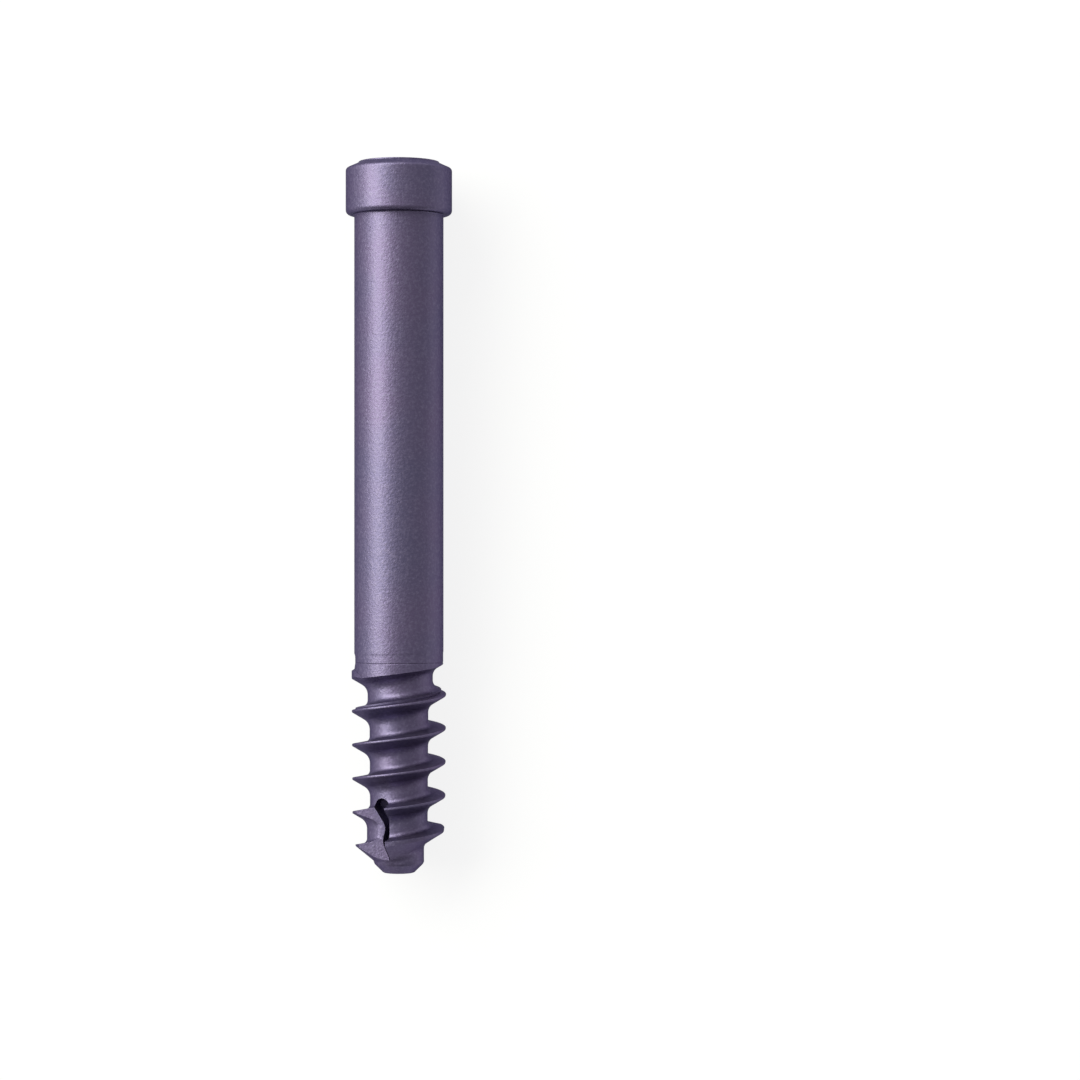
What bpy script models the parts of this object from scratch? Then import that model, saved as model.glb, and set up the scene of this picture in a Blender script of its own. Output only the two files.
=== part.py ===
"""Orthopedic bone screw, turned and milled from one titanium bar, lying at rest.

Lengths are in metres. The screw is drawn upright on its own axis, with the tip's end face at
height zero, the head on top and its shown side toward -Y. It is then laid down, head toward
+Y, until the collar and the last full thread crest both touch the ground.
"""

import math

import bmesh
import bpy
from mathutils import Matrix

# Whole screw
SCREW_LENGTH = 0.06015
THREADED_LENGTH = 0.01755
FACETS_AROUND = 44

# Head: a collar that slopes up to a very low boss
COLLAR_DIAMETER = 0.009
COLLAR_HEIGHT = 0.0044
COLLAR_SLOPE_HEIGHT = 0.00049
COLLAR_SLOPE_ROUND = 0.0003
COLLAR_LOWER_ROUND = 0.0004
BOSS_DIAMETER = 0.00684
BOSS_HEIGHT = 0.0001
BOSS_EDGE_ROUND = 0.00005

# Hexagonal drive socket
SOCKET_ACROSS_FLATS = 0.0035
SOCKET_DEPTH = 0.0035
SOCKET_MOUTH_DIAMETER = 0.00465
SOCKET_MOUTH_ANGLE = math.radians(45)

# Plain shaft
SHAFT_DIAMETER = 0.00755
SHAFT_TO_COLLAR_ROUND = 0.00012
SHAFT_TO_THREAD_RAMP = 0.0004
THREAD_START_SLANT = 0.2

# Thread: one right-hand start, cut as a groove into the bar
THREAD_DIAMETER = 0.008
CORE_DIAMETER = 0.005
PITCH = 0.00285
LOWEST_CREST_HEIGHT = 0.00366
THREAD_TAPER = 0.00008
CREST_WIDTH = 0.00018
CREST_ROUND = 0.0001
TIP_FACING_FLANK = math.radians(30)
HEAD_FACING_FLANK = math.radians(8)
TIP_FACING_ROOT_ROUND = 0.001
HEAD_FACING_ROOT_ROUND = 0.00045

# Where the groove leaves the bar below the shaft
RUN_OUT_TURNS = 1.0
RUN_OUT_RISE = 0.00044
RUN_OUT_ROOT_ROUND = 0.0008
LEAD_OUT_TURNS = 0.47
LEAD_OUT_LIFT = 0.0013

# The ledge that the same pass leaves above the first ridge, as (height above its crest, radius)
LEDGE_EDGE = (0.00034, 0.00359)
LEDGE_VALLEY = (0.00013, 0.00352)
LEDGE_EDGE_BELOW_CREST = 0.00025
LEDGE_VALLEY_BELOW_CREST = 0.00015
LEDGE_FULL_TURNS = 0.75

# Tip
TIP_END_DIAMETER = 0.0026
TIP_END_ROUND = 0.0003
TIP_NOSE_DIAMETER = 0.00412
TIP_NOSE_HEIGHT = 0.00075
TIP_NOSE_ROUND = 0.0004
TIP_NECK_DIAMETER = 0.00434
TIP_NECK_HEIGHT = 0.00105
TIP_CONE_DIAMETER = 0.00732
TIP_CONE_HEIGHT = 0.00228
TAPER_HEIGHT = 0.00435
TIP_GROOVE_DIAMETER = 0.00438
TIP_GROOVE_TURNS = 0.5
TIP_ROOT_RISE = 0.00028
TIP_ROOT_RISE_TURNS = 0.75
TIP_GROOVE_WIDENING = 0.0006
TIP_WIDENING_TURNS = 0.45
LOWEST_FLANK = math.radians(41)
LOWEST_FLANK_TURNS = (-0.05, -0.28)
GROOVE_PAST_LOWEST_CREST_TURNS = 0.55

# Cutting flutes, milled into the tip
FLUTE_COUNT = 2
FLUTE_WALL_ANGLE = math.radians(-105.7)
FLUTE_FLOOR_ANGLE = math.radians(-101)
FLUTE_HEIGHT = 0.00585
FLUTE_FLOOR_BELOW_CORE = 0.00023
SLOT_HEIGHT = 0.00645
SLOT_END_HEIGHT = 0.0012
SLOT_DEPTH = 0.0016
SLOT_WIDE = 0.00142
SLOT_NECK = 0.00045
SLOT_BULGE = 0.00062
SLOT_NARROWING = 0.17
SLOT_NECK_PLACE = 0.38
SLOT_BULGE_PLACE = 0.66
SLOT_WALL_CLEARANCE = 0.0001

# How finely curves are divided, and how far a cutter passes the surface it cuts
STEPS_PER_LARGE_ROUND = 4
STEPS_PER_ROUND = 3
STEPS_PER_SMALL_ROUND = 2
CUTTER_OVERLAP = 0.0005
MATCH = 0.000001

ANODISED_PURPLE = (0.115, 0.085, 0.170, 1.0)
ANODISED_ROUGHNESS = 0.42
ANODISED_METALLIC = 0.85

collar_radius = COLLAR_DIAMETER / 2
boss_radius = BOSS_DIAMETER / 2
shaft_radius = SHAFT_DIAMETER / 2
thread_radius = THREAD_DIAMETER / 2
core_radius = CORE_DIAMETER / 2
collar_top = SCREW_LENGTH - BOSS_HEIGHT
collar_underside = collar_top - COLLAR_HEIGHT


def remove_everything():
    """Empty the scene of its objects."""
    for thing in list(bpy.data.objects):
        bpy.data.objects.remove(thing, do_unlink=True)


def rounded(corners, radii, steps):
    """Points along a polyline whose corners are rounded to the given radii."""
    path = [corners[0]]
    for index in range(1, len(corners) - 1):
        before, corner, after = corners[index - 1:index + 2]
        radius = radii[index]
        if radius <= 0:
            path.append(corner)
            continue
        into = math.atan2(corner[1] - before[1], corner[0] - before[0])
        out_of = math.atan2(after[1] - corner[1], after[0] - corner[0])
        turn = math.remainder(out_of - into, 2 * math.pi)
        tangent = radius * math.tan(abs(turn) / 2)
        start = (corner[0] - tangent * math.cos(into), corner[1] - tangent * math.sin(into))
        side = math.copysign(math.pi / 2, turn)
        centre = (start[0] + radius * math.cos(into + side), start[1] + radius * math.sin(into + side))
        for step in range(steps[index] + 1):
            angle = into - side + turn * step / steps[index]
            path.append((centre[0] + radius * math.cos(angle), centre[1] + radius * math.sin(angle)))
    path.append(corners[-1])
    return path


def add_object(name, shape):
    """Make an object from a bmesh whose faces are turned to point outward."""
    bmesh.ops.recalc_face_normals(shape, faces=shape.faces)
    mesh = bpy.data.meshes.new(name)
    shape.to_mesh(mesh)
    shape.free()
    made = bpy.data.objects.new(name, mesh)
    bpy.context.scene.collection.objects.link(made)
    return made


def extruded(name, outline, start, end):
    """A closed prism: an outline of points, pushed along Z from start to end."""
    shape = bmesh.new()
    bottom = shape.faces.new([shape.verts.new((x, y, start)) for x, y in outline])
    pushed = bmesh.ops.extrude_face_region(shape, geom=[bottom], use_keep_orig=True)
    top_corners = [item for item in pushed["geom"] if isinstance(item, bmesh.types.BMVert)]
    bmesh.ops.translate(shape, verts=top_corners, vec=(0, 0, end - start))
    return add_object(name, shape)


def polygon(radius, sides):
    """The corners of a regular polygon."""
    angles = [2 * math.pi * side / sides for side in range(sides)]
    return [(radius * math.cos(angle), radius * math.sin(angle)) for angle in angles]


def turned(name, profile):
    """A solid turned about Z from a profile of (radius, height) that starts and ends on the axis."""
    shape = bmesh.new()
    half_facet = math.pi / FACETS_AROUND
    along = (math.cos(half_facet), math.sin(half_facet))
    points = [shape.verts.new((radius * along[0], radius * along[1], z)) for radius, z in profile]
    edges = [shape.edges.new(pair) for pair in zip(points, points[1:])]
    bmesh.ops.spin(
        shape, geom=points + edges, axis=(0, 0, 1), cent=(0, 0, 0),
        steps=FACETS_AROUND, angle=2 * math.pi, use_merge=True,
    )
    bmesh.ops.remove_doubles(shape, verts=shape.verts, dist=MATCH)
    return add_object(name, shape)


def bar_profile():
    """The outside of the screw before its thread, flutes and socket are cut."""
    corners = [
        (0, 0),
        (TIP_END_DIAMETER / 2, 0),
        (TIP_NOSE_DIAMETER / 2, TIP_NOSE_HEIGHT),
        (TIP_NECK_DIAMETER / 2, TIP_NECK_HEIGHT),
        (TIP_CONE_DIAMETER / 2, TIP_CONE_HEIGHT),
        (thread_radius - THREAD_TAPER, TAPER_HEIGHT),
        (thread_radius, THREADED_LENGTH - SHAFT_TO_THREAD_RAMP),
        (shaft_radius, THREADED_LENGTH),
        (shaft_radius, collar_underside),
        (collar_radius, collar_underside),
        (collar_radius, collar_top - COLLAR_SLOPE_HEIGHT),
        (boss_radius, collar_top),
        (boss_radius, SCREW_LENGTH),
        (0, SCREW_LENGTH),
    ]
    radii = [0, TIP_END_ROUND, TIP_NOSE_ROUND, 0, 0, 0, 0, 0, SHAFT_TO_COLLAR_ROUND,
             COLLAR_LOWER_ROUND, COLLAR_SLOPE_ROUND, 0, BOSS_EDGE_ROUND, 0]
    small, middling = STEPS_PER_SMALL_ROUND, STEPS_PER_ROUND
    steps = [0, small, small, 0, 0, 0, 0, 0, small, middling, middling, 0, small, 0]
    return rounded(corners, radii, steps)


def slant_thread_start(bar):
    """Slope the step where the bar widens from shaft to thread, so that it starts lower on +X."""
    step_start = THREADED_LENGTH - SHAFT_TO_THREAD_RAMP
    for vertex in bar.data.vertices:
        if step_start - MATCH < vertex.co.z < THREADED_LENGTH + MATCH:
            vertex.co.z -= THREAD_START_SLANT * (vertex.co.x + thread_radius)


def between(start, end, part):
    """The point that lies the given part of the way from one point to another."""
    return tuple(a + (b - a) * part for a, b in zip(start, end))


def groove_section(root_radius, root_round, flank, widening, ledge):
    """The groove between two crests, as (distance toward the tip, radius) from the upper crest."""
    depth = thread_radius - root_radius
    half_crest = CREST_WIDTH / 2
    far_crest = PITCH + widening - half_crest
    far_flank = math.tan(HEAD_FACING_FLANK)

    def on_far_flank(below_crest, ledge_point):
        """A point on the far flank, moved toward its place on the ledge."""
        plain = (far_crest - below_crest * far_flank, thread_radius - below_crest)
        return between(plain, (far_crest - ledge_point[0], ledge_point[1]), ledge)

    corners = [
        (0, thread_radius),
        (half_crest, thread_radius),
        (half_crest + depth * math.tan(flank), root_radius),
        (far_crest - depth * far_flank - ledge * LEDGE_EDGE[0], root_radius),
        on_far_flank(LEDGE_EDGE_BELOW_CREST, LEDGE_EDGE),
        on_far_flank(LEDGE_VALLEY_BELOW_CREST, LEDGE_VALLEY),
        (far_crest, thread_radius),
        (PITCH + widening, thread_radius),
    ]
    radii = [0, CREST_ROUND, TIP_FACING_ROOT_ROUND, root_round, 0, 0, CREST_ROUND, 0]
    small, middling = STEPS_PER_SMALL_ROUND, STEPS_PER_ROUND
    steps = [0, small, middling, small, 0, 0, small, 0]
    cut = rounded(corners, radii, steps)[1:-1]
    outside = thread_radius + CUTTER_OVERLAP
    return [(cut[0][0], outside)] + cut + [(cut[-1][0], outside)]


def part_way(value, start, end):
    """How far a value lies from start to end, held between 0 and 1."""
    return min(max((value - start) / (end - start), 0.0), 1.0)


def groove_cutter():
    """The helical groove, swept from above the thread to past its lowest crest."""
    root_middle = (PITCH + thread_radius - core_radius) / 2
    top_turn = (THREADED_LENGTH + root_middle - LOWEST_CREST_HEIGHT) / PITCH
    lead_out_turn = top_turn - LEAD_OUT_TURNS
    run_out_turn = lead_out_turn - RUN_OUT_TURNS
    first_step = -round(GROOVE_PAST_LOWEST_CREST_TURNS * FACETS_AROUND)
    last_step = math.ceil(top_turn * FACETS_AROUND)

    shape = bmesh.new()
    rings = []
    for step in range(first_step, last_step + 1):
        turn = step / FACETS_AROUND
        run_out = part_way(turn, run_out_turn, lead_out_turn)
        ledge = part_way(turn, run_out_turn, top_turn - LEDGE_FULL_TURNS)
        near_tip = part_way(turn, TIP_GROOVE_TURNS, 0)
        root_radius = core_radius + run_out * RUN_OUT_RISE
        root_radius += TIP_ROOT_RISE * part_way(turn, TIP_ROOT_RISE_TURNS, TIP_GROOVE_TURNS)
        root_radius += near_tip * (TIP_GROOVE_DIAMETER / 2 - core_radius - TIP_ROOT_RISE)
        root_round = HEAD_FACING_ROOT_ROUND + run_out * (RUN_OUT_ROOT_ROUND - HEAD_FACING_ROOT_ROUND)
        flank = TIP_FACING_FLANK
        flank += (LOWEST_FLANK - TIP_FACING_FLANK) * part_way(turn, *LOWEST_FLANK_TURNS)
        widening = TIP_GROOVE_WIDENING * part_way(turn, TIP_WIDENING_TURNS, 0)
        angle = 2 * math.pi * turn
        crest_height = LOWEST_CREST_HEIGHT + PITCH * turn
        lift = LEAD_OUT_LIFT * part_way(turn, lead_out_turn, top_turn) ** 2
        lift -= THREAD_TAPER * part_way(crest_height, THREADED_LENGTH, TAPER_HEIGHT)
        ring = []
        for drop, radius in groove_section(root_radius, root_round, flank, widening, ledge):
            reach = radius + lift
            point = (reach * math.cos(angle), reach * math.sin(angle), crest_height - drop)
            ring.append(shape.verts.new(point))
        rings.append(ring)

    points_around = len(rings[0])
    for ring, following in zip(rings, rings[1:]):
        for point in range(points_around):
            beside = (point + 1) % points_around
            shape.faces.new((ring[point], ring[beside], following[beside], following[point]))
    shape.faces.new(rings[0])
    shape.faces.new(rings[-1])
    return add_object("thread_groove", shape)


def flute_floor_cutter(number):
    """The broad flat of one flute, beside its radial wall and outside its floor."""
    floor_distance = core_radius - FLUTE_FLOOR_BELOW_CORE
    turn_to_floor = FLUTE_FLOOR_ANGLE - FLUTE_WALL_ANGLE
    reach = THREAD_DIAMETER + CUTTER_OVERLAP
    wall_offset = SLOT_WALL_CLEARANCE
    # In these outlines +X points away from the axis along the wall, and -Y into the flute
    corner_x = (floor_distance + wall_offset * math.sin(turn_to_floor)) / math.cos(turn_to_floor)
    far_x = corner_x + reach * math.tan(turn_to_floor)
    outline = [
        (corner_x, -wall_offset),
        (far_x, -wall_offset - reach),
        (reach, -wall_offset - reach),
        (reach, -wall_offset),
    ]
    cutter = extruded(f"flute_floor_{number}", outline, -CUTTER_OVERLAP, FLUTE_HEIGHT)
    cutter.rotation_euler.z = FLUTE_WALL_ANGLE + 2 * math.pi * number / FLUTE_COUNT
    return cutter


def smooth_side(points, steps):
    """A smooth line through a few points, each stretch with the given steps."""
    padded = [points[0]] + points + [points[-1]]
    path = []
    for index in range(1, len(points)):
        before, start, end, after = padded[index - 1:index + 3]
        for step in range(steps):
            t = step / steps
            weights = (
                (-t + 2 * t ** 2 - t ** 3) / 2,
                (2 - 5 * t ** 2 + 3 * t ** 3) / 2,
                (t + 4 * t ** 2 - 3 * t ** 3) / 2,
                (t ** 3 - t ** 2) / 2,
            )
            near = (before, start, end, after)
            path.append(tuple(sum(w * p[axis] for w, p in zip(weights, near)) for axis in (0, 1)))
    path.append(points[-1])
    return path


def slot_cutter(number):
    """The narrow chip slot beside one flute's wall, with a round top and a waved far side."""
    radius = SLOT_WIDE / 2
    length = SLOT_HEIGHT - radius - SLOT_END_HEIGHT
    arch_steps = 2 * STEPS_PER_LARGE_ROUND
    arch_height = SLOT_HEIGHT - radius
    arch = []
    for step in range(arch_steps):
        angle = math.pi * step / arch_steps
        arch.append((radius - radius * math.cos(angle), arch_height + radius * math.sin(angle)))
    far_side = smooth_side([
        (SLOT_WIDE, arch_height),
        ((SLOT_WIDE + SLOT_NECK) / 2, arch_height - length * SLOT_NARROWING),
        (SLOT_NECK, arch_height - length * SLOT_NECK_PLACE),
        (SLOT_BULGE, arch_height - length * SLOT_BULGE_PLACE),
        (0, SLOT_END_HEIGHT),
    ], STEPS_PER_ROUND)
    floor = core_radius - FLUTE_FLOOR_BELOW_CORE - SLOT_DEPTH
    cutter = extruded(f"chip_slot_{number}", arch + far_side, floor, thread_radius + CUTTER_OVERLAP)
    # The outline stands up, and its depth runs out along the wall
    upright = Matrix(((0, 0, 1, 0), (-1, 0, 0, 0), (0, 1, 0, 0), (0, 0, 0, 1)))
    cutter.data.transform(upright)
    cutter.data.flip_normals()
    cutter.rotation_euler.z = FLUTE_WALL_ANGLE + 2 * math.pi * number / FLUTE_COUNT
    return cutter


def socket_cutters():
    """The hexagonal hole in the head and the cone that opens its mouth."""
    corner_radius = SOCKET_ACROSS_FLATS / math.sqrt(3)
    floor = SCREW_LENGTH - SOCKET_DEPTH
    hexagon = extruded("socket_hexagon", polygon(corner_radius, 6), floor, SCREW_LENGTH + CUTTER_OVERLAP)
    mouth_radius = SOCKET_MOUTH_DIAMETER / 2
    slope = math.tan(SOCKET_MOUTH_ANGLE)
    mouth = turned("socket_mouth", [
        (0, SCREW_LENGTH - mouth_radius * slope),
        (mouth_radius + CUTTER_OVERLAP, SCREW_LENGTH + CUTTER_OVERLAP * slope),
        (0, SCREW_LENGTH + CUTTER_OVERLAP * slope),
    ])
    return [hexagon, mouth]


def cut(piece, cutter):
    """Cut one shape out of a piece."""
    cutter.hide_render = True
    cutter.display_type = "WIRE"
    cutter.parent = piece
    boolean = piece.modifiers.new(cutter.name, "BOOLEAN")
    boolean.operation = "DIFFERENCE"
    boolean.solver = "EXACT"
    boolean.object = cutter


def anodised_titanium():
    """Matte purple anodised titanium."""
    material = bpy.data.materials.new("anodised_titanium")
    material.use_nodes = True
    surface = material.node_tree.nodes["Principled BSDF"]
    surface.inputs["Base Color"].default_value = ANODISED_PURPLE
    surface.inputs["Roughness"].default_value = ANODISED_ROUGHNESS
    surface.inputs["Metallic"].default_value = ANODISED_METALLIC
    return material


def resting_lean():
    """The angle at which the collar's lower edge and a thread crest touch the ground together."""
    collar_edge = collar_underside + COLLAR_LOWER_ROUND
    lean = math.pi / 2
    crest = LOWEST_CREST_HEIGHT + PITCH / 4
    while crest < THREADED_LENGTH:
        if crest >= TAPER_HEIGHT:
            crest_radius = thread_radius - THREAD_TAPER * part_way(crest, THREADED_LENGTH, TAPER_HEIGHT)
            lean = min(lean, math.atan2(collar_radius - crest_radius, collar_edge - crest))
        crest += PITCH
    return lean


def lay_down(screw):
    """Lay the screw on its side, its lowest points on the ground and the middle of its box over zero."""
    lean = resting_lean()
    flat_radius = collar_radius * math.cos(math.pi / FACETS_AROUND)
    collar_edge = collar_underside + COLLAR_LOWER_ROUND
    tip_slope = math.atan2(TIP_NOSE_HEIGHT, (TIP_NOSE_DIAMETER - TIP_END_DIAMETER) / 2)
    head_end = SCREW_LENGTH * math.cos(lean) + (boss_radius - BOSS_EDGE_ROUND) * math.sin(lean)
    tip_end = -(TIP_END_DIAMETER / 2 - TIP_END_ROUND * math.tan(tip_slope / 2)) * math.sin(lean)
    ground = bpy.data.objects.new("screw_at_rest", None)
    bpy.context.scene.collection.objects.link(ground)
    ground.rotation_euler.x = lean - math.pi / 2
    ground.location.y = -(head_end + tip_end) / 2
    ground.location.z = flat_radius * math.cos(lean) - collar_edge * math.sin(lean)
    screw.parent = ground


def build():
    """Make the screw."""
    remove_everything()
    screw = turned("bone_screw", bar_profile())
    slant_thread_start(screw)
    screw.data.materials.append(anodised_titanium())
    cut(screw, groove_cutter())
    for cutter in socket_cutters():
        cut(screw, cutter)
    for number in range(FLUTE_COUNT):
        cut(screw, flute_floor_cutter(number))
        cut(screw, slot_cutter(number))
    screw.data.shade_smooth()
    screw.data.set_sharp_from_angle(angle=math.radians(30))
    lay_down(screw)


build()
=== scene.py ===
"""Finish of the orthopedic bone screw: its fine form, blasted purple surface, floor and light.

The screw is drawn upright on its own axis, with the tip's end face at height zero and its shown
side toward -Y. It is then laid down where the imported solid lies. Every length is in metres.
"""

import math

import bmesh
import bpy
from mathutils import Matrix, Vector


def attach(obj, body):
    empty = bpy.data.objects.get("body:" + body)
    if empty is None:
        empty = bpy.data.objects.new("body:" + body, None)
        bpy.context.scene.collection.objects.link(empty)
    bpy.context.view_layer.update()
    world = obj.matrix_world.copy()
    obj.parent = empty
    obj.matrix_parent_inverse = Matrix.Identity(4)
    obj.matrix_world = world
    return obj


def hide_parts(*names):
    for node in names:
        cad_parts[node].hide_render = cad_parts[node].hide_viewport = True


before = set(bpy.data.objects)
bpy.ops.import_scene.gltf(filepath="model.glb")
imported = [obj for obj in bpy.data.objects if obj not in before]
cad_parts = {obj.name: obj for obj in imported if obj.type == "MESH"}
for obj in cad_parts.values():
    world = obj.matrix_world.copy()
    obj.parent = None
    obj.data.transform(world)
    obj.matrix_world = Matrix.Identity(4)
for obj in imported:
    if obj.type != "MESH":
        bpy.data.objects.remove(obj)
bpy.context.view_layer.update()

MM = 0.001

# Whole screw
SCREW_LENGTH = 60.15 * MM
THREADED_LENGTH = 17.55 * MM

# Head: a collar that slopes up to a very low boss
COLLAR_RADIUS = 4.5 * MM
COLLAR_HEIGHT = 4.4 * MM
COLLAR_SLOPE_HEIGHT = 0.49 * MM
COLLAR_SLOPE_ROUND = 0.3 * MM
COLLAR_LOWER_ROUND = 0.4 * MM
BOSS_RADIUS = 3.42 * MM
BOSS_HEIGHT = 0.1 * MM
BOSS_EDGE_ROUND = 0.05 * MM

# Hexagonal drive socket
SOCKET_ACROSS_FLATS = 3.5 * MM
SOCKET_DEPTH = 3.5 * MM
SOCKET_MOUTH_RADIUS = 2.325 * MM

# Plain shaft
SHAFT_RADIUS = 3.775 * MM
SHAFT_TO_COLLAR_ROUND = 0.12 * MM

# The ramp from the shaft out to the thread: it starts at the left and falls steeply to the right
THREAD_START_HEIGHT = 17.48 * MM
THREAD_START_RAMP = 0.36 * MM
THREAD_START_SLANT = 0.9
THREAD_START_FALL = 1.2 * MM

# The fine marks that the tool left near the shaft's end
STEP_MARK_HEIGHT = 18.5 * MM
STEP_MARK_DEPTH = 0.025 * MM
STEP_MARK_WIDTH = 0.11 * MM
STEP_MARK_SLANT = 0.02
LINE_MARK_HEIGHT = 17.8 * MM
LINE_MARK_DEPTH = 0.035 * MM
LINE_MARK_WIDTH = 0.11 * MM

# Thread: one right-hand start, cut as a groove into the bar
THREAD_RADIUS = 4.0 * MM
CORE_RADIUS = 2.5 * MM
PITCH = 2.85 * MM
LOWEST_CREST_HEIGHT = 3.66 * MM
THREAD_TAPER = 0.08 * MM
CREST_WIDTH = 0.18 * MM
CREST_ROUND = 0.1 * MM
TIP_FACING_FLANK = math.radians(30)
HEAD_FACING_FLANK = math.radians(8)
TIP_FACING_ROOT_ROUND = 1.0 * MM
HEAD_FACING_ROOT_ROUND = 0.45 * MM
RUN_OUT_TURNS = 1.0
RUN_OUT_RISE = 0.44 * MM
RUN_OUT_ROOT_ROUND = 0.8 * MM
LEAD_OUT_TURNS = 0.47
LEAD_OUT_LIFT = 1.3 * MM

# The ledge that the same pass leaves above the first ridge, as (height above its crest, radius)
LEDGE_EDGE = (0.34 * MM, 3.59 * MM)
LEDGE_VALLEY = (0.13 * MM, 3.52 * MM)
LEDGE_EDGE_BELOW_CREST = 0.25 * MM
LEDGE_VALLEY_BELOW_CREST = 0.15 * MM
LEDGE_FULL_TURNS = 0.75

# Tip
TIP_END_RADIUS = 1.3 * MM
TIP_END_ROUND = 0.3 * MM
TIP_NOSE_RADIUS = 2.06 * MM
TIP_NOSE_HEIGHT = 0.75 * MM
TIP_NOSE_ROUND = 0.4 * MM
TIP_NECK_RADIUS = 2.17 * MM
TIP_NECK_HEIGHT = 1.05 * MM
TIP_CONE_RADIUS = 3.66 * MM
TIP_CONE_HEIGHT = 2.28 * MM
TAPER_HEIGHT = 4.35 * MM
TIP_GROOVE_RADIUS = 2.19 * MM
TIP_GROOVE_TURNS = 0.5
TIP_ROOT_RISE = 0.28 * MM
TIP_ROOT_RISE_TURNS = 0.75
TIP_GROOVE_WIDENING = 0.6 * MM
TIP_WIDENING_TURNS = 0.45
LOWEST_FLANK = math.radians(41)
LOWEST_FLANK_START_TURN = -0.05
LOWEST_FLANK_FULL_TURN = -0.28
GROOVE_PAST_LOWEST_CREST_TURNS = 0.55

# Cutting flutes
FLUTE_COUNT = 2
FLUTE_WALL_ANGLE = math.radians(-105.7)
FLUTE_FLOOR_ANGLE = math.radians(-101)
FLUTE_HEIGHT = 5.85 * MM
FLUTE_FLOOR_DISTANCE = CORE_RADIUS - 0.23 * MM
SLOT_HEIGHT = 6.45 * MM
SLOT_END_HEIGHT = 1.2 * MM
SLOT_DEPTH = 1.6 * MM
SLOT_WIDE = 1.42 * MM
SLOT_NECK = 0.45 * MM
SLOT_BULGE = 0.62 * MM
SLOT_NARROWING = 0.17
SLOT_NECK_PLACE = 0.38
SLOT_BULGE_PLACE = 0.66
SLOT_WALL_CLEARANCE = 0.1 * MM

# How finely the form is divided
FACETS_AROUND = 160
STEPS_PER_ROUND = 8
SHADING_GUARD = 0.05 * MM
SHARP_EDGE = math.radians(32)
CUTTER_OVERLAP = 0.5 * MM
SAME_PLACE = 0.001 * MM

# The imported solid's facets, which it lies on
PACKED_FACETS = 44

# Anodised colours: they drift from bluer to redder, and the top of the grain is paler
BLUE_PURPLE = (0.114, 0.098, 0.186, 1.0)
RED_PURPLE = (0.128, 0.098, 0.188, 1.0)
PALE_GRAIN = (0.176, 0.150, 0.252, 1.0)
TINT_SCALE = 170.0
TINT_SPAN = (0.35, 0.65)
PALE_SPAN = (0.45, 0.80)

# Blasted surface: how many blotches of each kind lie along a metre, and how they add up to its grain
GRAIN_SCALE = 4000.0
FINE_GRAIN_SCALE = 11000.0
PIT_SCALE = 5500.0
GRAIN_HEIGHT = 0.023 * MM
FINE_GRAIN_SHARE = 0.35
PIT_SHARE = 0.5
LEAST_ROUGHNESS = 0.45
GRAIN_ROUGHNESS = 0.12

# Floor, and how far it is drawn toward plain white where it is seen
FLOOR_SIZE = 3.0
FLOOR_COLOUR = (0.88, 0.88, 0.89, 1.0)
FLOOR_WHITENING = 0.85

# Pale light from all round: its strength on each side, and the directions between which it changes,
# from -1 straight past the tip to 1 straight past the head
SKY_COLOUR = (0.99, 0.99, 1.0, 1.0)
SKY_PAST_TIP = 0.20
SKY_OVERHEAD = 0.52
SKY_PAST_HEAD = 0.90
SKY_TIP_SPAN = (-0.75, -0.25)
SKY_HEAD_SPAN = (0.5, 0.9)

# Soft box at the photograph's upper left, its length along the screw
KEY_DIRECTION = (-0.68, 0.44, 0.62)
KEY_DISTANCE = 1.5
KEY_LENGTH = 2.1
KEY_WIDTH = 0.92
KEY_COLOUR = (0.98, 1.0, 0.87)
KEY_POWER = 43.0

# Where the camera stands, from the photograph
CAMERA_DISTANCE = 249 * MM
CAMERA_RIGHT = 11.95 * MM
CAMERA_BELOW_HEAD = 32.0 * MM
CAMERA_LENS = 98.0


class Wire:
    """One output in a node tree. Sums written on it add Math nodes."""

    def __init__(self, tree, socket):
        self.tree = tree
        self.socket = socket

    def maths(self, operation, first, second):
        """A Math node on two values."""
        return self.tree.add("ShaderNodeMath", {"operation": operation}, {0: first, 1: second})

    def __add__(self, other):
        return self.maths("ADD", self, other)

    __radd__ = __add__

    def __sub__(self, other):
        return self.maths("SUBTRACT", self, other)

    def __rsub__(self, other):
        return self.maths("SUBTRACT", other, self)

    def __mul__(self, other):
        return self.maths("MULTIPLY", self, other)

    __rmul__ = __mul__

    def __truediv__(self, other):
        return self.maths("DIVIDE", self, other)

    def __rtruediv__(self, other):
        return self.maths("DIVIDE", other, self)

    def __pow__(self, other):
        return self.maths("POWER", self, other)


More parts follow.
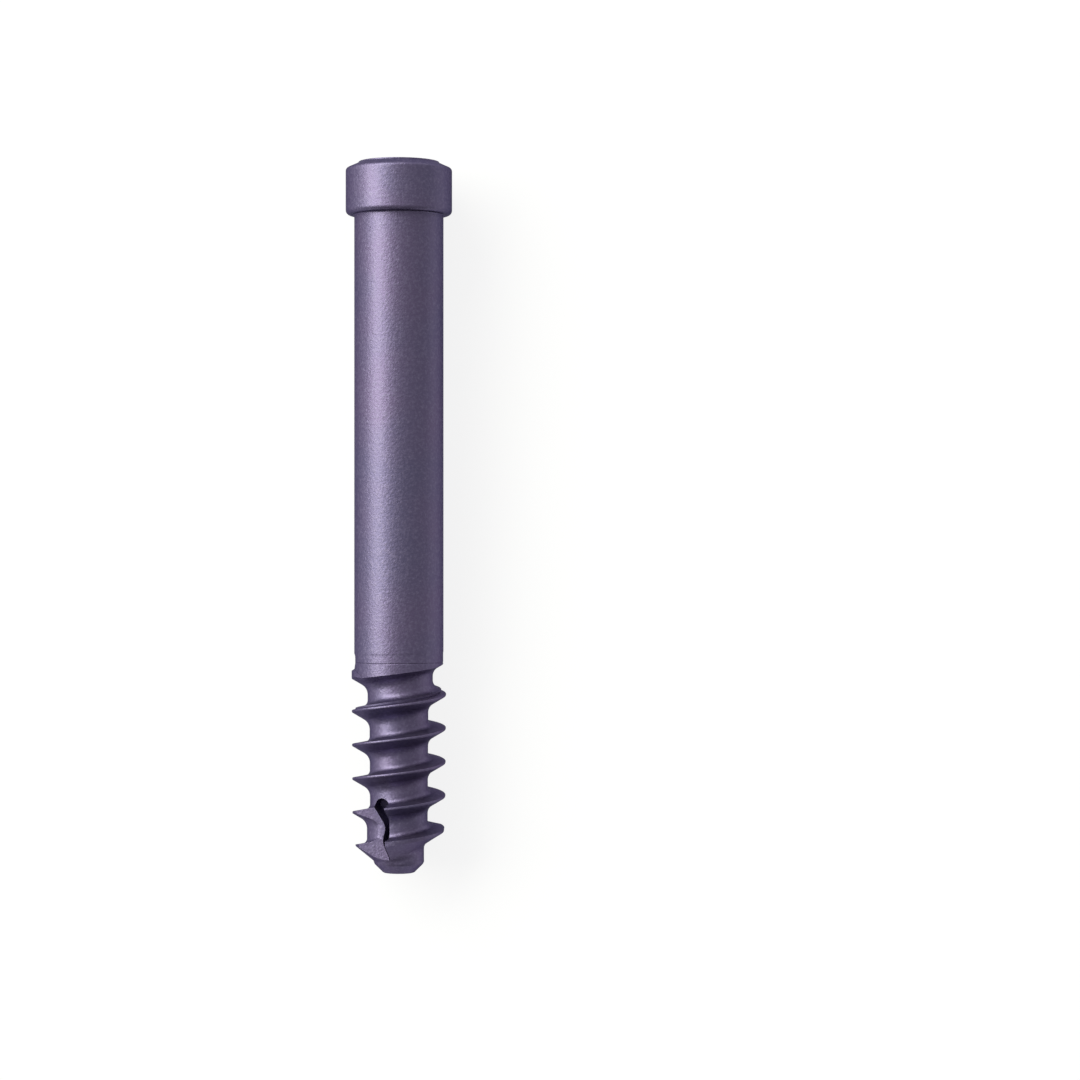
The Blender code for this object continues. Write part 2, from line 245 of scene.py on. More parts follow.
class Tree:
    """A node tree that is built by adding nodes and wiring their sockets."""

    def __init__(self, nodes):
        self.nodes = nodes

    def add(self, kind, settings=None, inputs=None, output=0):
        """Add a node: its settings come first, then the values or wires of its sockets."""
        node = self.nodes.nodes.new(kind)
        for name, value in (settings or {}).items():
            setattr(node, name, value)
        for name, value in (inputs or {}).items():
            self.feed(self.find(node.inputs, name), value)
        return Wire(self, self.find(node.outputs, output)) if len(node.outputs) else node

    @staticmethod
    def find(sockets, name):
        """A socket by its place, identifier or name."""
        if isinstance(name, int):
            return sockets[name]
        for socket in sockets:
            if socket.identifier == name:
                return socket
        return sockets[name]

    def feed(self, socket, value):
        """Wire a socket, or give it a value; a list of wires goes into one joined socket."""
        if isinstance(value, list):
            for wire in value:
                self.nodes.links.new(wire.socket, socket)
        elif isinstance(value, Wire):
            self.nodes.links.new(value.socket, socket)
        else:
            socket.default_value = value

    def mixed_colour(self, factor, first, second):
        """A colour between two others."""
        inputs = {"Factor_Float": factor, "A_Color": first, "B_Color": second}
        return self.add("ShaderNodeMix", {"data_type": "RGBA"}, inputs, "Result_Color")

    def part_way(self, value, start, end):
        """How far a value lies from start to end, held between 0 and 1."""
        inputs = {"Value": value, "From Min": start, "From Max": end, "To Min": 0.0, "To Max": 1.0}
        return self.add("ShaderNodeMapRange", {"clamp": True}, inputs, "Result")


def rounded(corners, radii, steps):
    """Points along a polyline whose corners are rounded to the given radii."""
    path = [corners[0]]
    for index in range(1, len(corners) - 1):
        before, corner, after = corners[index - 1:index + 2]
        radius = radii[index]
        if radius <= 0:
            path.append(corner)
            continue
        into = math.atan2(corner[1] - before[1], corner[0] - before[0])
        out_of = math.atan2(after[1] - corner[1], after[0] - corner[0])
        turn = math.remainder(out_of - into, 2 * math.pi)
        tangent = radius * math.tan(abs(turn) / 2)
        start = (corner[0] - tangent * math.cos(into), corner[1] - tangent * math.sin(into))
        side = math.copysign(math.pi / 2, turn)
        centre = (start[0] + radius * math.cos(into + side), start[1] + radius * math.sin(into + side))
        for step in range(steps + 1):
            angle = into - side + turn * step / steps
            path.append((centre[0] + radius * math.cos(angle), centre[1] + radius * math.sin(angle)))
    path.append(corners[-1])
    return path


def between(start, end, part):
    """The point that lies the given part of the way from one point to another."""
    return tuple(a + (b - a) * part for a, b in zip(start, end))


def add_object(name, shape, outward=True):
    """Make an object from a bmesh; the faces of a closed shape are turned to point outward."""
    if outward:
        bmesh.ops.recalc_face_normals(shape, faces=shape.faces)
    mesh = bpy.data.meshes.new(name)
    shape.to_mesh(mesh)
    shape.free()
    made = bpy.data.objects.new(name, mesh)
    bpy.context.scene.collection.objects.link(made)
    return made


def extruded(name, outline, start, end):
    """A closed prism: an outline of points, pushed along Z from start to end."""
    shape = bmesh.new()
    bottom = shape.faces.new([shape.verts.new((x, y, start)) for x, y in outline])
    pushed = bmesh.ops.extrude_face_region(shape, geom=[bottom], use_keep_orig=True)
    top_corners = [item for item in pushed["geom"] if isinstance(item, bmesh.types.BMVert)]
    bmesh.ops.translate(shape, verts=top_corners, vec=(0, 0, end - start))
    return add_object(name, shape)


def turned(name, profile):
    """A solid turned about Z from a profile of (radius, height) that starts and ends on the axis."""
    shape = bmesh.new()
    points = [shape.verts.new((radius, 0, z)) for radius, z in profile]
    edges = [shape.edges.new(pair) for pair in zip(points, points[1:])]
    bmesh.ops.spin(
        shape, geom=points + edges, axis=(0, 0, 1), cent=(0, 0, 0),
        steps=FACETS_AROUND, angle=2 * math.pi, use_merge=True,
    )
    bmesh.ops.remove_doubles(shape, verts=shape.verts, dist=SAME_PLACE)
    return add_object(name, shape)


def guarded(path):
    """A path with a point near both ends of each long stretch, so that the stretch shades straight."""
    kept = [path[0]]
    for start, end in zip(path, path[1:]):
        length = math.dist(start, end)
        # A ring close to the axis would only make slivers
        if length > 4 * SHADING_GUARD and min(start[0], end[0]) > 0:
            kept.append(between(start, end, SHADING_GUARD / length))
            kept.append(between(end, start, SHADING_GUARD / length))
        kept.append(end)
    return kept


def turned_bar():
    """The outside of the screw before its thread, flutes and socket are cut."""
    collar_top = SCREW_LENGTH - BOSS_HEIGHT
    underside = collar_top - COLLAR_HEIGHT
    step_radius = SHAFT_RADIUS - STEP_MARK_DEPTH
    line_radius = step_radius - LINE_MARK_DEPTH
    profile = [
        (0, 0, 0),
        (TIP_END_RADIUS, 0, TIP_END_ROUND),
        (TIP_NOSE_RADIUS, TIP_NOSE_HEIGHT, TIP_NOSE_ROUND),
        (TIP_NECK_RADIUS, TIP_NECK_HEIGHT, 0),
        (TIP_CONE_RADIUS, TIP_CONE_HEIGHT, 0),
        (THREAD_RADIUS - THREAD_TAPER, TAPER_HEIGHT, 0),
        (THREAD_RADIUS, THREAD_START_HEIGHT - THREAD_START_RAMP, 0),
        (step_radius, THREAD_START_HEIGHT, 0),
        (step_radius, LINE_MARK_HEIGHT - LINE_MARK_WIDTH / 2, 0),
        (line_radius, LINE_MARK_HEIGHT, 0),
        (step_radius, LINE_MARK_HEIGHT + LINE_MARK_WIDTH / 2, 0),
        (step_radius, STEP_MARK_HEIGHT - STEP_MARK_WIDTH / 2, 0),
        (SHAFT_RADIUS, STEP_MARK_HEIGHT + STEP_MARK_WIDTH / 2, 0),
        (SHAFT_RADIUS, underside, SHAFT_TO_COLLAR_ROUND),
        (COLLAR_RADIUS, underside, COLLAR_LOWER_ROUND),
        (COLLAR_RADIUS, collar_top - COLLAR_SLOPE_HEIGHT, COLLAR_SLOPE_ROUND),
        (BOSS_RADIUS, collar_top, 0),
        (BOSS_RADIUS, SCREW_LENGTH, BOSS_EDGE_ROUND),
        (0, SCREW_LENGTH, 0),
    ]
    corners = [(radius, z) for radius, z, _ in profile]
    path = guarded(rounded(corners, [corner[2] for corner in profile], STEPS_PER_ROUND))
    bar = turned("bone_screw_fine", path)
    ramp_middle = THREAD_START_HEIGHT - THREAD_START_RAMP / 2
    # The added points beside the ramp and the mark move with them
    past_edge = 1.5 * SHADING_GUARD
    for vertex in bar.data.vertices:
        across = vertex.co.x + THREAD_RADIUS
        if abs(vertex.co.z - ramp_middle) < THREAD_START_RAMP / 2 + past_edge:
            # Behind the shown side the ramp keeps above the first crest
            slant = THREAD_START_SLANT if vertex.co.y < 0 else THREAD_START_FALL / (2 * THREAD_RADIUS)
            vertex.co.z -= min(slant * across, THREAD_START_FALL)
        elif abs(vertex.co.z - STEP_MARK_HEIGHT) < STEP_MARK_WIDTH / 2 + past_edge:
            vertex.co.z += STEP_MARK_SLANT * across
    return bar


def groove_section(root_radius, root_round=HEAD_FACING_ROOT_ROUND, flank=TIP_FACING_FLANK,
                   widening=0, ledge=0):
    """The groove between two crests, as (distance toward the tip, radius) from the upper crest."""
    depth = THREAD_RADIUS - root_radius
    half_crest = CREST_WIDTH / 2
    far_crest = PITCH + widening - half_crest
    far_flank = math.tan(HEAD_FACING_FLANK)

    def on_far_flank(below_crest, ledge_point):
        """A point on the far flank, moved toward its place on the ledge."""
        plain = (far_crest - below_crest * far_flank, THREAD_RADIUS - below_crest)
        return between(plain, (far_crest - ledge_point[0], ledge_point[1]), ledge)

    corners = [
        (0, THREAD_RADIUS),
        (half_crest, THREAD_RADIUS),
        (half_crest + depth * math.tan(flank), root_radius),
        (far_crest - depth * far_flank - ledge * LEDGE_EDGE[0], root_radius),
        on_far_flank(LEDGE_EDGE_BELOW_CREST, LEDGE_EDGE),
        on_far_flank(LEDGE_VALLEY_BELOW_CREST, LEDGE_VALLEY),
        (far_crest, THREAD_RADIUS),
        (PITCH + widening, THREAD_RADIUS),
    ]
    radii = [0, CREST_ROUND, TIP_FACING_ROOT_ROUND, root_round, 0, 0, CREST_ROUND, 0]
    cut = rounded(corners, radii, STEPS_PER_ROUND)[1:-1]
    outside = THREAD_RADIUS + CUTTER_OVERLAP
    return [(cut[0][0], outside)] + cut + [(cut[-1][0], outside)]


def groove_sections():
    """An object that holds the groove's section, with the changes to it as vectors on its points."""
    plain = groove_section(CORE_RADIUS)
    run_out = groove_section(CORE_RADIUS + RUN_OUT_RISE, RUN_OUT_ROOT_ROUND)
    raised = groove_section(CORE_RADIUS + TIP_ROOT_RISE)
    at_tip = groove_section(TIP_GROOVE_RADIUS)
    changes = {
        "run_out": (plain, run_out),
        "ledge": (run_out, groove_section(CORE_RADIUS + RUN_OUT_RISE, RUN_OUT_ROOT_ROUND, ledge=1)),
        "raised": (plain, raised),
        "at_tip": (raised, at_tip),
        "widened": (at_tip, groove_section(TIP_GROOVE_RADIUS, widening=TIP_GROOVE_WIDENING)),
        "leaning": (at_tip, groove_section(TIP_GROOVE_RADIUS, flank=LOWEST_FLANK)),
    }
    mesh = bpy.data.meshes.new("groove_section")
    mesh.from_pydata([(drop, radius, 0) for drop, radius in plain], [], [])
    for name, (before, after) in changes.items():
        vectors = mesh.attributes.new(name, "FLOAT_VECTOR", "POINT")
        for point, old, new in zip(vectors.data, before, after):
            point.vector = (new[0] - old[0], new[1] - old[1], 0)
    made = bpy.data.objects.new("groove_section", mesh)
    bpy.context.scene.collection.objects.link(made)
    return made


def flute_floor_cutter():
    """The broad flat of one flute, beside its radial wall and outside its floor."""
    turn_to_floor = FLUTE_FLOOR_ANGLE - FLUTE_WALL_ANGLE
    reach = 2 * THREAD_RADIUS + CUTTER_OVERLAP
    wall = SLOT_WALL_CLEARANCE
    # In this outline +X points away from the axis along the wall, and -Y into the flute
    corner_x = (FLUTE_FLOOR_DISTANCE + wall * math.sin(turn_to_floor)) / math.cos(turn_to_floor)
    outline = [
        (corner_x, -wall),
        (corner_x + reach * math.tan(turn_to_floor), -wall - reach),
        (reach, -wall - reach),
        (reach, -wall),
    ]
    cutter = extruded("flute_floor_cutter", outline, -CUTTER_OVERLAP, FLUTE_HEIGHT)
    cutter.data.transform(Matrix.Rotation(FLUTE_WALL_ANGLE, 4, "Z"))
    return cutter


def smooth_side(points, steps):
    """A smooth line through a few points, each stretch with the given steps."""
    padded = [points[0]] + points + [points[-1]]
    path = []
    for index in range(1, len(points)):
        near = padded[index - 1:index + 3]
        for step in range(steps):
            t = step / steps
            # How much each of the four nearest points pulls on this one
            weights = (
                (-t + 2 * t ** 2 - t ** 3) / 2,
                (2 - 5 * t ** 2 + 3 * t ** 3) / 2,
                (t + 4 * t ** 2 - 3 * t ** 3) / 2,
                (t ** 3 - t ** 2) / 2,
            )
            path.append(tuple(sum(w * p[axis] for w, p in zip(weights, near)) for axis in (0, 1)))
    path.append(points[-1])
    return path


def chip_slot_cutter():
    """The narrow slot beside one flute's wall, with a round top and a waved far side."""
    radius = SLOT_WIDE / 2
    arch_height = SLOT_HEIGHT - radius
    length = arch_height - SLOT_END_HEIGHT
    arch_steps = 3 * STEPS_PER_ROUND
    arch = []
    for step in range(arch_steps):
        angle = math.pi * step / arch_steps
        arch.append((radius - radius * math.cos(angle), arch_height + radius * math.sin(angle)))
    far_side = smooth_side([
        (SLOT_WIDE, arch_height),
        ((SLOT_WIDE + SLOT_NECK) / 2, arch_height - length * SLOT_NARROWING),
        (SLOT_NECK, arch_height - length * SLOT_NECK_PLACE),
        (SLOT_BULGE, arch_height - length * SLOT_BULGE_PLACE),
        (0, SLOT_END_HEIGHT),
    ], STEPS_PER_ROUND)
    floor = FLUTE_FLOOR_DISTANCE - SLOT_DEPTH
    cutter = extruded("chip_slot_cutter", arch + far_side, floor, THREAD_RADIUS + CUTTER_OVERLAP)
    # The outline stands up, and its depth runs out along the wall
    upright = Matrix(((0, 0, 1, 0), (-1, 0, 0, 0), (0, 1, 0, 0), (0, 0, 0, 1)))
    cutter.data.transform(Matrix.Rotation(FLUTE_WALL_ANGLE, 4, "Z") @ upright)
    cutter.data.flip_normals()
    return cutter


def socket_cutters():
    """The hexagonal hole in the head, and the cone that opens its mouth."""
    corner_radius = SOCKET_ACROSS_FLATS / math.sqrt(3)
    angles = [math.pi * side / 3 for side in range(6)]
    outline = [(corner_radius * math.cos(angle), corner_radius * math.sin(angle)) for angle in angles]
    past_head = SCREW_LENGTH + CUTTER_OVERLAP
    hexagon = extruded("hexagon_cutter", outline, SCREW_LENGTH - SOCKET_DEPTH, past_head)
    mouth = turned("socket_mouth_cutter", [
        (0, SCREW_LENGTH - SOCKET_MOUTH_RADIUS),
        (SOCKET_MOUTH_RADIUS + CUTTER_OVERLAP, past_head),
        (0, past_head),
    ])
    return hexagon, mouth


def add_inputs(tree, sockets):
    """Give a geometry tree its named inputs, and return their identifiers and wires."""
    identifiers = {}
    for name, kind in sockets.items():
        made = tree.nodes.interface.new_socket(name, in_out="INPUT", socket_type=kind)
        identifiers[name] = made.identifier
    group = tree.nodes.nodes.new("NodeGroupInput")
    wires = {name: Wire(tree, tree.find(group.outputs, found)) for name, found in identifiers.items()}
    return identifiers, wires


def shape_of(tree, source):
    """The shape of a helper object that is one of the tree's inputs."""
    settings = {"transform_space": "ORIGINAL"}
    return tree.add("GeometryNodeObjectInfo", settings, {"Object": source}, "Geometry")


def swept_groove(tree, given):
    """Sweep the groove's section down its helix, as a closed solid."""
    turns = given["Top Turn"] - given["First Turn"]
    rings = turns * given["Steps per Turn"] + 1
    around = given["Section Points"] + 1
    inputs = {"Size X": 1.0, "Size Y": 1.0, "Vertices X": rings, "Vertices Y": around}
    grid = tree.add("GeometryNodeMeshGrid", None, inputs, "Mesh")
    place = tree.add("GeometryNodeInputPosition")
    along = tree.add("ShaderNodeSeparateXYZ", None, {0: place}, "X") + 0.5
    across = tree.add("ShaderNodeSeparateXYZ", None, {0: place}, "Y") + 0.5
    nearest = tree.add("ShaderNodeMath", {"operation": "ROUND"}, {0: across * given["Section Points"]})
    point = nearest.maths("MODULO", nearest, given["Section Points"])

    section = shape_of(tree, given["Groove Section"])

    def on_section(field):
        """The value of a field at this point of the section."""
        settings = {"data_type": "FLOAT_VECTOR", "domain": "POINT"}
        inputs = {"Geometry": section, "Value": field, "Index": point}
        return tree.add("GeometryNodeSampleIndex", settings, inputs)

    turn = given["First Turn"] + along * turns
    top_turn = given["Top Turn"]
    lead_out = top_turn - given["Lead Out Turns"]
    run_out = lead_out - given["Run Out Turns"]
    amounts = {
        "run_out": tree.part_way(turn, run_out, lead_out),
        "ledge": tree.part_way(turn, run_out, top_turn - given["Ledge Full Turns"]),
        "raised": tree.part_way(turn, given["Rise Turns"], given["Tip Turns"]),
        "at_tip": tree.part_way(turn, given["Tip Turns"], 0.0),
        "widened": tree.part_way(turn, given["Widening Turns"], 0.0),
        "leaning": tree.part_way(turn, given["Lowest Flank Start"], given["Lowest Flank Full"]),
    }
    shape = on_section(tree.add("GeometryNodeInputPosition"))
    for name, amount in amounts.items():
        settings = {"data_type": "FLOAT_VECTOR"}
        change = tree.add("GeometryNodeInputNamedAttribute", settings, {"Name": name})
        inputs = {0: on_section(change), 1: amount, 2: shape}
        shape = tree.add("ShaderNodeVectorMath", {"operation": "MULTIPLY_ADD"}, inputs)

    crest_height = given["Lowest Crest Height"] + given["Pitch"] * turn
    tapered = tree.part_way(crest_height, given["Threaded Length"], given["Taper Height"])
    taper = given["Thread Taper"] * tapered
    lift = given["Lead Out Lift"] * tree.part_way(turn, lead_out, top_turn) ** 2.0 - taper
    radius = tree.add("ShaderNodeSeparateXYZ", None, {0: shape}, "Y") + lift
    drop = tree.add("ShaderNodeSeparateXYZ", None, {0: shape}, "X")
    middle = 0.5 * given["Pitch"]
    # The first and last rings close to a point outside the bar
    from_end = 0.5 - tree.add("ShaderNodeMath", {"operation": "ABSOLUTE"}, {0: along - 0.5})
    open_here = from_end.maths("GREATER_THAN", from_end, 0.25 / rings)
    drop = middle + (drop - middle) * open_here
    outside = given["Outside Radius"]
    radius = outside + (radius - outside) * open_here
    angle = turn * (2 * math.pi)
    cosine = tree.add("ShaderNodeMath", {"operation": "COSINE"}, {0: angle})
    sine = tree.add("ShaderNodeMath", {"operation": "SINE"}, {0: angle})
    inputs = {"X": radius * cosine, "Y": radius * sine, "Z": crest_height - drop}
    spot = tree.add("ShaderNodeCombineXYZ", None, inputs)
    swept = tree.add("GeometryNodeSetPosition", None, {"Geometry": grid, "Position": spot})
    inputs = {"Geometry": swept, "Distance": given["Merge Distance"]}
    return tree.add("GeometryNodeMergeByDistance", None, inputs)


def repeated_around(tree, cutter, count):
    """Copies of a cutter, evenly spaced around the axis."""
    points = tree.add("GeometryNodePoints", None, {"Count": count})
    turn = tree.add("GeometryNodeInputIndex") * (2 * math.pi) / count
    rotation = tree.add("ShaderNodeCombineXYZ", None, {"Z": turn})
    inputs = {"Points": points, "Instance": shape_of(tree, cutter), "Rotation": rotation}
    copies = tree.add("GeometryNodeInstanceOnPoints", None, inputs)
    return tree.add("GeometryNodeRealizeInstances", None, {"Geometry": copies})


def screw_tree():
    """The tree that threads a turned bar and cuts its flutes and socket."""
    group = bpy.data.node_groups.new("threaded_screw", "GeometryNodeTree")
    group.interface.new_socket("Geometry", in_out="OUTPUT", socket_type="NodeSocketGeometry")
    tree = Tree(group)
    identifiers, given = add_inputs(tree, {
        "Geometry": "NodeSocketGeometry",
        "Groove Section": "NodeSocketObject",
        "Flute Floor": "NodeSocketObject",
        "Chip Slot": "NodeSocketObject",
        "Hexagon": "NodeSocketObject",
        "Socket Mouth": "NodeSocketObject",
        "Threaded Length": "NodeSocketFloat",
        "Taper Height": "NodeSocketFloat",
        "Thread Taper": "NodeSocketFloat",
        "Outside Radius": "NodeSocketFloat",
        "Merge Distance": "NodeSocketFloat",
        "Pitch": "NodeSocketFloat",
        "Lowest Crest Height": "NodeSocketFloat",
        "First Turn": "NodeSocketFloat",
        "Top Turn": "NodeSocketFloat",
        "Run Out Turns": "NodeSocketFloat",
        "Lead Out Turns": "NodeSocketFloat",
        "Lead Out Lift": "NodeSocketFloat",
        "Ledge Full Turns": "NodeSocketFloat",
        "Rise Turns": "NodeSocketFloat",
        "Tip Turns": "NodeSocketFloat",
        "Widening Turns": "NodeSocketFloat",
        "Lowest Flank Start": "NodeSocketFloat",
        "Lowest Flank Full": "NodeSocketFloat",
        "Section Points": "NodeSocketInt",
        "Steps per Turn": "NodeSocketInt",
        "Flute Count": "NodeSocketInt",
        "Material": "NodeSocketMaterial",
    })
    cutters = [
        swept_groove(tree, given),
        repeated_around(tree, given["Flute Floor"], given["Flute Count"]),
        repeated_around(tree, given["Chip Slot"], given["Flute Count"]),
        shape_of(tree, given["Hexagon"]),
        shape_of(tree, given["Socket Mouth"]),
    ]
    settings = {"operation": "DIFFERENCE", "solver": "MANIFOLD"}
    inputs = {"Mesh 1": given["Geometry"], "Mesh 2": cutters}
    cut = tree.add("GeometryNodeMeshBoolean", settings, inputs, "Mesh")
    realized = tree.add("GeometryNodeRealizeInstances", None, {"Geometry": cut})
    inputs = {"Geometry": realized, "Shade Smooth": True}
    smooth = tree.add("GeometryNodeSetShadeSmooth", None, inputs)
    inputs = {"Geometry": smooth, "Material": given["Material"]}
    finished = tree.add("GeometryNodeSetMaterial", None, inputs)
    output = group.nodes.new("NodeGroupOutput")
    group.links.new(finished.socket, output.inputs["Geometry"])
    return group, identifiers


def lying_place():
    """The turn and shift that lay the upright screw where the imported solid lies."""
    # It rests on the collar's lower edge and on the lowest crest that faces the floor
    collar_edge = SCREW_LENGTH - BOSS_HEIGHT - COLLAR_HEIGHT + COLLAR_LOWER_ROUND
    crest = LOWEST_CREST_HEIGHT + PITCH / 4
    crest_radius = THREAD_RADIUS
    crest_radius -= THREAD_TAPER * (THREADED_LENGTH - crest) / (THREADED_LENGTH - TAPER_HEIGHT)
    lean = math.atan2(COLLAR_RADIUS - crest_radius, collar_edge - crest)
    flat_radius = COLLAR_RADIUS * math.cos(math.pi / PACKED_FACETS)
    # The origin lies below the middle between the boss's lower rim and the tip's upper rim
    tip_slope = math.atan2(TIP_NOSE_HEIGHT, TIP_NOSE_RADIUS - TIP_END_RADIUS)
    tip_rim = TIP_END_RADIUS - TIP_END_ROUND * math.tan(tip_slope / 2)
    head_end = SCREW_LENGTH * math.cos(lean) + (BOSS_RADIUS - BOSS_EDGE_ROUND) * math.sin(lean)
    middle = (head_end - tip_rim * math.sin(lean)) / 2
    height = flat_radius * math.cos(lean) - collar_edge * math.sin(lean)
    return Matrix.Translation((0, -middle, height)) @ Matrix.Rotation(lean - math.pi / 2, 4, "X")


def clear_slivers(mesh):
    """Take out the faces without area that the cuts leave."""
    shape = bmesh.new()
    shape.from_mesh(mesh)
    bmesh.ops.triangulate(shape, faces=shape.faces)
    bmesh.ops.dissolve_degenerate(shape, dist=SAME_PLACE, edges=shape.edges)
    shape.to_mesh(mesh)
    shape.free()


def fine_screw(material, place):
    """The screw in its fine form, as one plain mesh in its place."""
    bar = turned_bar()
    hexagon, mouth = socket_cutters()
    helpers = {
        "Groove Section": groove_sections(),
        "Flute Floor": flute_floor_cutter(),
        "Chip Slot": chip_slot_cutter(),
        "Hexagon": hexagon,
        "Socket Mouth": mouth,
    }
    group, identifiers = screw_tree()
    modifier = bar.modifiers.new("Threading", "NODES")
    modifier.node_group = group
    root_middle = (PITCH + THREAD_RADIUS - CORE_RADIUS) / 2
    top_turn = (THREADED_LENGTH + root_middle - LOWEST_CREST_HEIGHT) / PITCH
    values = {
        **helpers,
        "Threaded Length": THREADED_LENGTH,
        "Taper Height": TAPER_HEIGHT,
        "Thread Taper": THREAD_TAPER,
        "Outside Radius": THREAD_RADIUS + CUTTER_OVERLAP,
        "Merge Distance": SAME_PLACE,
        "Pitch": PITCH,
        "Lowest Crest Height": LOWEST_CREST_HEIGHT,
        "First Turn": -GROOVE_PAST_LOWEST_CREST_TURNS,
        "Top Turn": top_turn,
        "Run Out Turns": RUN_OUT_TURNS,
        "Lead Out Turns": LEAD_OUT_TURNS,
        "Lead Out Lift": LEAD_OUT_LIFT,
        "Ledge Full Turns": LEDGE_FULL_TURNS,
        "Rise Turns": TIP_ROOT_RISE_TURNS,
        "Tip Turns": TIP_GROOVE_TURNS,
        "Widening Turns": TIP_WIDENING_TURNS,
        "Lowest Flank Start": LOWEST_FLANK_START_TURN,
        "Lowest Flank Full": LOWEST_FLANK_FULL_TURN,
        "Section Points": len(helpers["Groove Section"].data.vertices),
        "Steps per Turn": FACETS_AROUND,
        "Flute Count": FLUTE_COUNT,
        "Material": material,
    }
    for name, value in values.items():
        modifier[identifiers[name]] = value
    graph = bpy.context.evaluated_depsgraph_get()
    mesh = bpy.data.meshes.new_from_object(bar.evaluated_get(graph), depsgraph=graph)
    screw = bpy.data.objects.new("bone_screw_body", mesh)
    bpy.context.scene.collection.objects.link(screw)
    for helper in [*helpers.values(), bar]:
        bpy.data.objects.remove(helper, do_unlink=True)
    clear_slivers(mesh)
    mesh.transform(place)
    mesh.set_sharp_from_angle(angle=SHARP_EDGE)
    return screw


def anodised_titanium():
    """Matte purple anodised titanium with a fine blasted grain."""
    material = bpy.data.materials.new("anodised_titanium_blasted")
    material.use_nodes = True
    tree = Tree(material.node_tree)
    tree.nodes.nodes.clear()
    place = tree.add("ShaderNodeTexCoord", None, None, "Object")

    def noise(scale, detail, roughness):
        """A cloudy value from 0 to 1, of the given number of blotches to the metre."""
        inputs = {"Vector": place, "Scale": scale, "Detail": detail, "Roughness": roughness}
        return tree.add("ShaderNodeTexNoise", None, inputs, "Fac")

    grain = noise(GRAIN_SCALE, detail=2.0, roughness=0.6)
    fine_grain = noise(FINE_GRAIN_SCALE, detail=1.0, roughness=0.5)
    tint_drift = tree.part_way(noise(TINT_SCALE, detail=2.0, roughness=0.5), *TINT_SPAN)
    inputs = {"Vector": place, "Scale": PIT_SCALE, "Smoothness": 0.6}
    pits = tree.add("ShaderNodeTexVoronoi", {"feature": "SMOOTH_F1"}, inputs, "Distance")

    tinted = tree.mixed_colour(tint_drift, BLUE_PURPLE, RED_PURPLE)
    colour = tree.mixed_colour(tree.part_way(grain, *PALE_SPAN), tinted, PALE_GRAIN)
    height = grain + FINE_GRAIN_SHARE * fine_grain + PIT_SHARE * pits
    inputs = {"Strength": 1.0, "Distance": GRAIN_HEIGHT, "Height": height}
    bump = tree.add("ShaderNodeBump", None, inputs, "Normal")
    surface = tree.add("ShaderNodeBsdfPrincipled", None, {
        "Base Color": colour,
        "Metallic": 1.0,
        "Roughness": LEAST_ROUGHNESS + GRAIN_ROUGHNESS * grain,
        "Specular Tint": (0.15, 0.15, 0.2, 1.0),
        "Coat Weight": 0.08,
        "Coat IOR": 3.0,
        "Coat Roughness": 0.4,
        "Normal": bump,
    }, "BSDF")
    tree.add("ShaderNodeOutputMaterial", None, {"Surface": surface})
    return material


def pale_floor():
    """A plain pale floor under the screw."""
    shape = bmesh.new()
    bmesh.ops.create_grid(shape, x_segments=1, y_segments=1, size=FLOOR_SIZE)
    floor = add_object("floor", shape, outward=False)
    material = bpy.data.materials.new("pale_floor")
    material.use_nodes = True
    tree = Tree(material.node_tree)
    tree.nodes.nodes.clear()
    paper = tree.add("ShaderNodeBsdfPrincipled", None, {
        "Base Color": FLOOR_COLOUR,
        "Roughness": 0.9,
        "Specular IOR Level": 0.1,
    }, "BSDF")
    white = tree.add("ShaderNodeEmission", None, {"Color": (1.0, 1.0, 1.0, 1.0), "Strength": 1.0})
    # The floor is whitened alike for the camera and in what the metal reflects
    seen = tree.add("ShaderNodeLightPath", None, None, "Is Camera Ray")
    for ray in ("Is Glossy Ray", "Is Transmission Ray"):
        seen = seen + tree.add("ShaderNodeLightPath", None, None, ray)
    inputs = {0: FLOOR_WHITENING * seen, 1: paper, 2: white}
    surface = tree.add("ShaderNodeMixShader", None, inputs)
    tree.add("ShaderNodeOutputMaterial", None, {"Surface": surface})
    floor.data.materials.append(material)


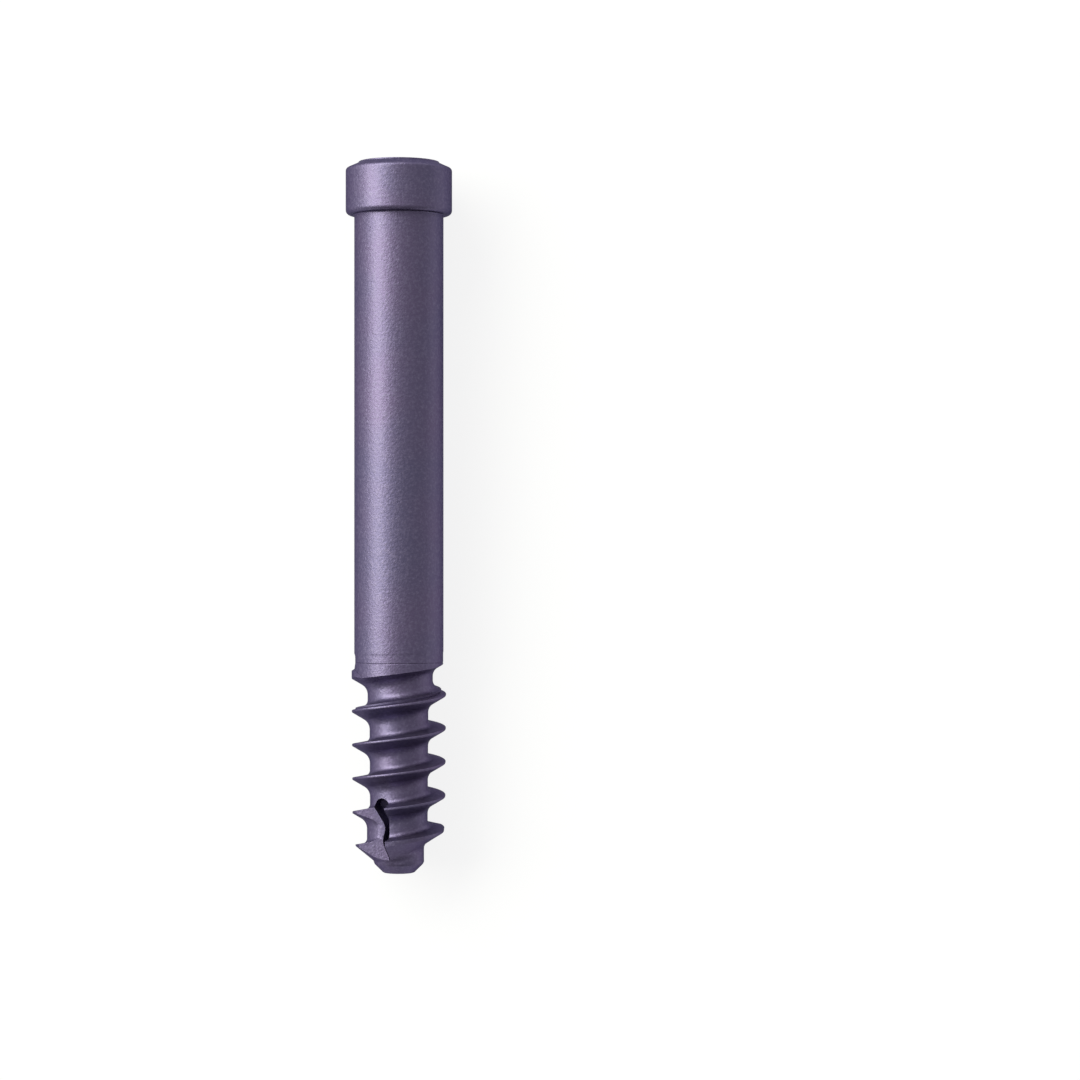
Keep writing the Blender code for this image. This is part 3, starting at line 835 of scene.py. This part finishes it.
def soft_box(name, direction, distance, length, width, colour, power):
    """A soft light that looks at the screw from a direction, its length along the screw."""
    lamp = bpy.data.lights.new(name, "AREA")
    lamp.shape = "RECTANGLE"
    lamp.size = length
    lamp.size_y = width
    lamp.color = colour
    lamp.energy = power
    light = bpy.data.objects.new(name, lamp)
    light.location = Vector(direction).normalized() * distance
    light.rotation_euler = light.location.to_track_quat("Z", "Y").to_euler()
    bpy.context.scene.collection.objects.link(light)


def studio_light():
    """Pale light from all round, brighter past the head than past the tip, and one soft box."""
    world = bpy.data.worlds.new("studio")
    world.use_nodes = True
    tree = Tree(world.node_tree)
    tree.nodes.nodes.clear()
    direction = tree.add("ShaderNodeTexCoord", None, None, "Generated")
    toward_head = tree.add("ShaderNodeSeparateXYZ", None, {0: direction}, "Y")
    overhead = (SKY_OVERHEAD - SKY_PAST_TIP) * tree.part_way(toward_head, *SKY_TIP_SPAN)
    past_head = (SKY_PAST_HEAD - SKY_OVERHEAD) * tree.part_way(toward_head, *SKY_HEAD_SPAN)
    inputs = {"Color": SKY_COLOUR, "Strength": SKY_PAST_TIP + overhead + past_head}
    sky = tree.add("ShaderNodeBackground", None, inputs)
    tree.add("ShaderNodeOutputWorld", None, {"Surface": sky})
    bpy.context.scene.world = world
    soft_box("key_light", KEY_DIRECTION, KEY_DISTANCE, KEY_LENGTH, KEY_WIDTH, KEY_COLOUR, KEY_POWER)


def photo_camera(place):
    """The camera straight above, level with the same point of the screw as in the photograph."""
    across = (place.to_3x3() @ Vector((1, 0, 0))).normalized()
    along = (place.to_3x3() @ Vector((0, 0, 1))).normalized()
    toward = across.cross(along)
    level = place @ Vector((0, 0, SCREW_LENGTH - CAMERA_BELOW_HEAD))
    spot = level + toward * CAMERA_DISTANCE + across * CAMERA_RIGHT
    lens = bpy.data.cameras.new("camera")
    lens.lens = CAMERA_LENS
    lens.clip_start = 10 * MM
    camera = bpy.data.objects.new("camera", lens)
    axes = Matrix((across, along, toward)).transposed()
    camera.matrix_world = Matrix.Translation(spot) @ axes.to_4x4()
    bpy.context.scene.collection.objects.link(camera)
    bpy.context.scene.camera = camera


def main():
    """Make the screw, its floor, its light and the camera."""
    place = lying_place()
    screw = fine_screw(anodised_titanium(), place)
    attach(screw, "root")
    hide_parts("bone_screw")
    pale_floor()
    studio_light()
    photo_camera(place)
    bpy.context.scene.view_settings.view_transform = "Standard"


main()
